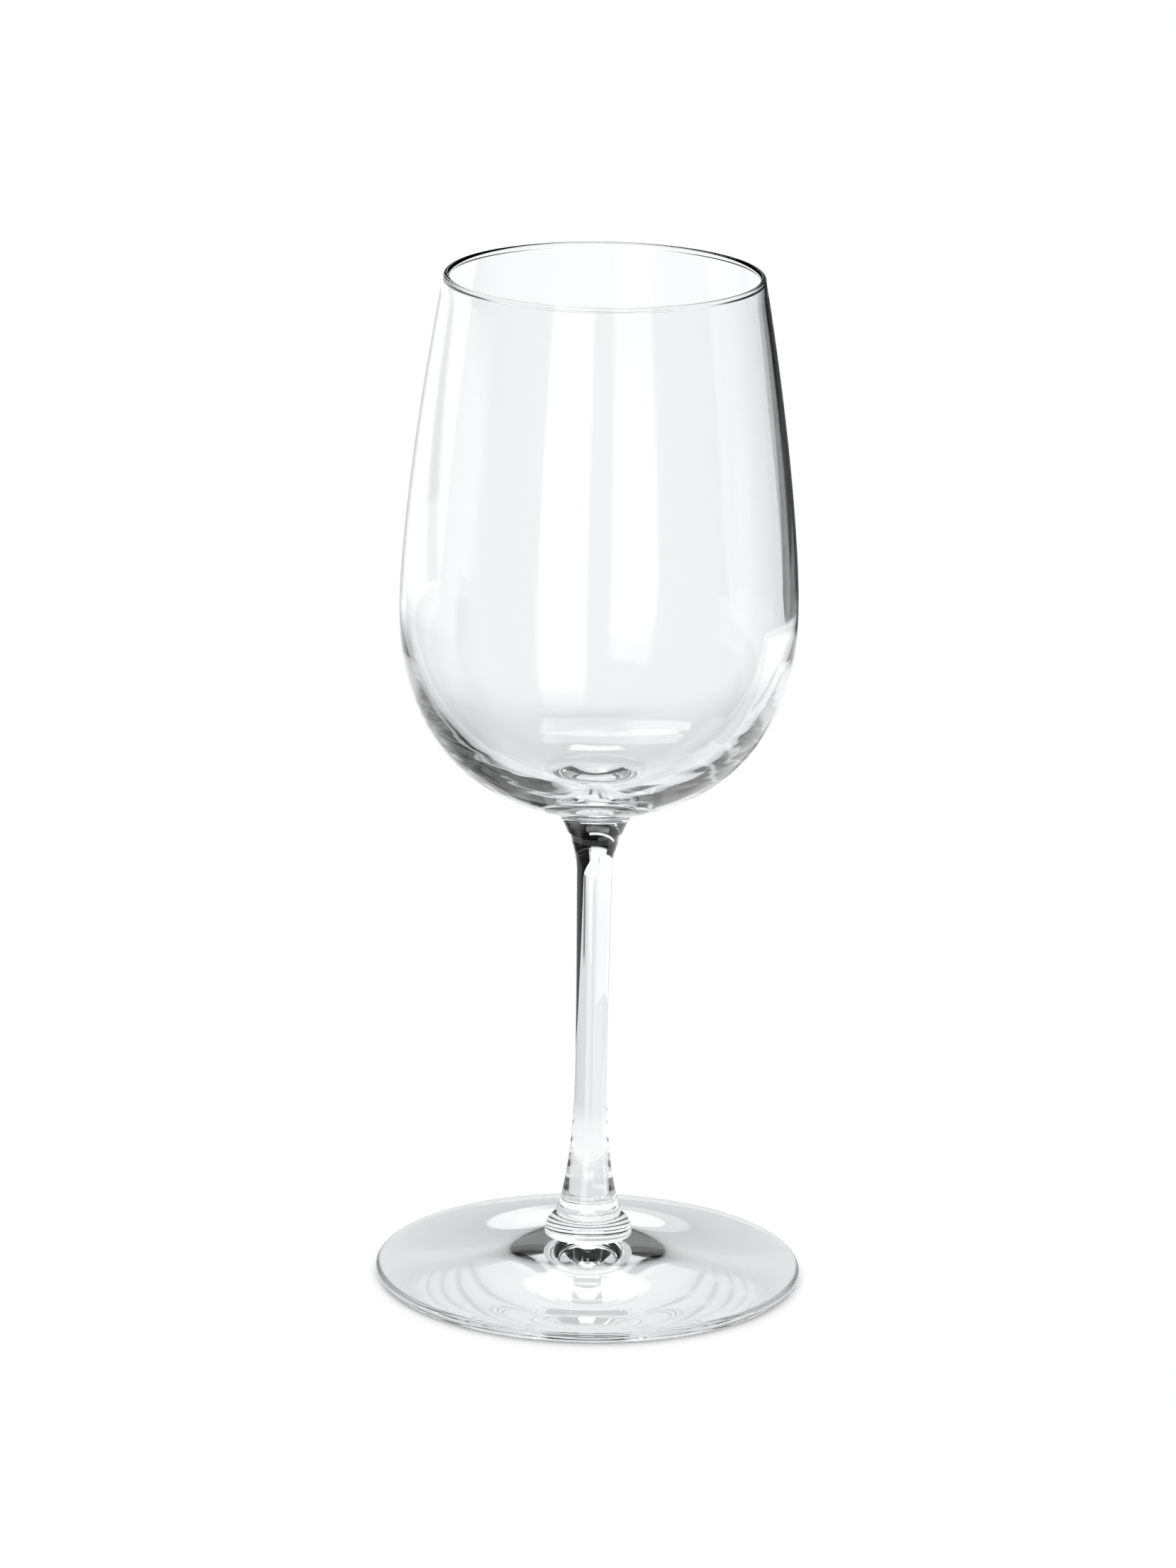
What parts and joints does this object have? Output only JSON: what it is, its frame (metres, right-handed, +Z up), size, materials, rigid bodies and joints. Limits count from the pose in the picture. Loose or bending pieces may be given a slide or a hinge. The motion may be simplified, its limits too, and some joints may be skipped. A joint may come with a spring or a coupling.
{
  "type": "wine glass",
  "caption": "Clear stemmed wine glass: a tulip bowl with a fire-polished lip on a slim drawn stem, fused to a round conical foot.",
  "frame": {"origin": "on the axis of the glass, in the plane of the flat ring that the foot stands on", "axes": "+Z up along the axis of the stem and bowl; X and Y are free, because the glass is round"},
  "size_m": [0.0918, 0.0918, 0.22],
  "materials": {
    "clear_glass": "clear, fire-polished and smooth, with a faint cool cast"
  },
  "bodies": {
    "root": {"bowl": "clear_glass", "stem": "clear_glass", "foot": "clear_glass"}
  },
  "joints": []
}
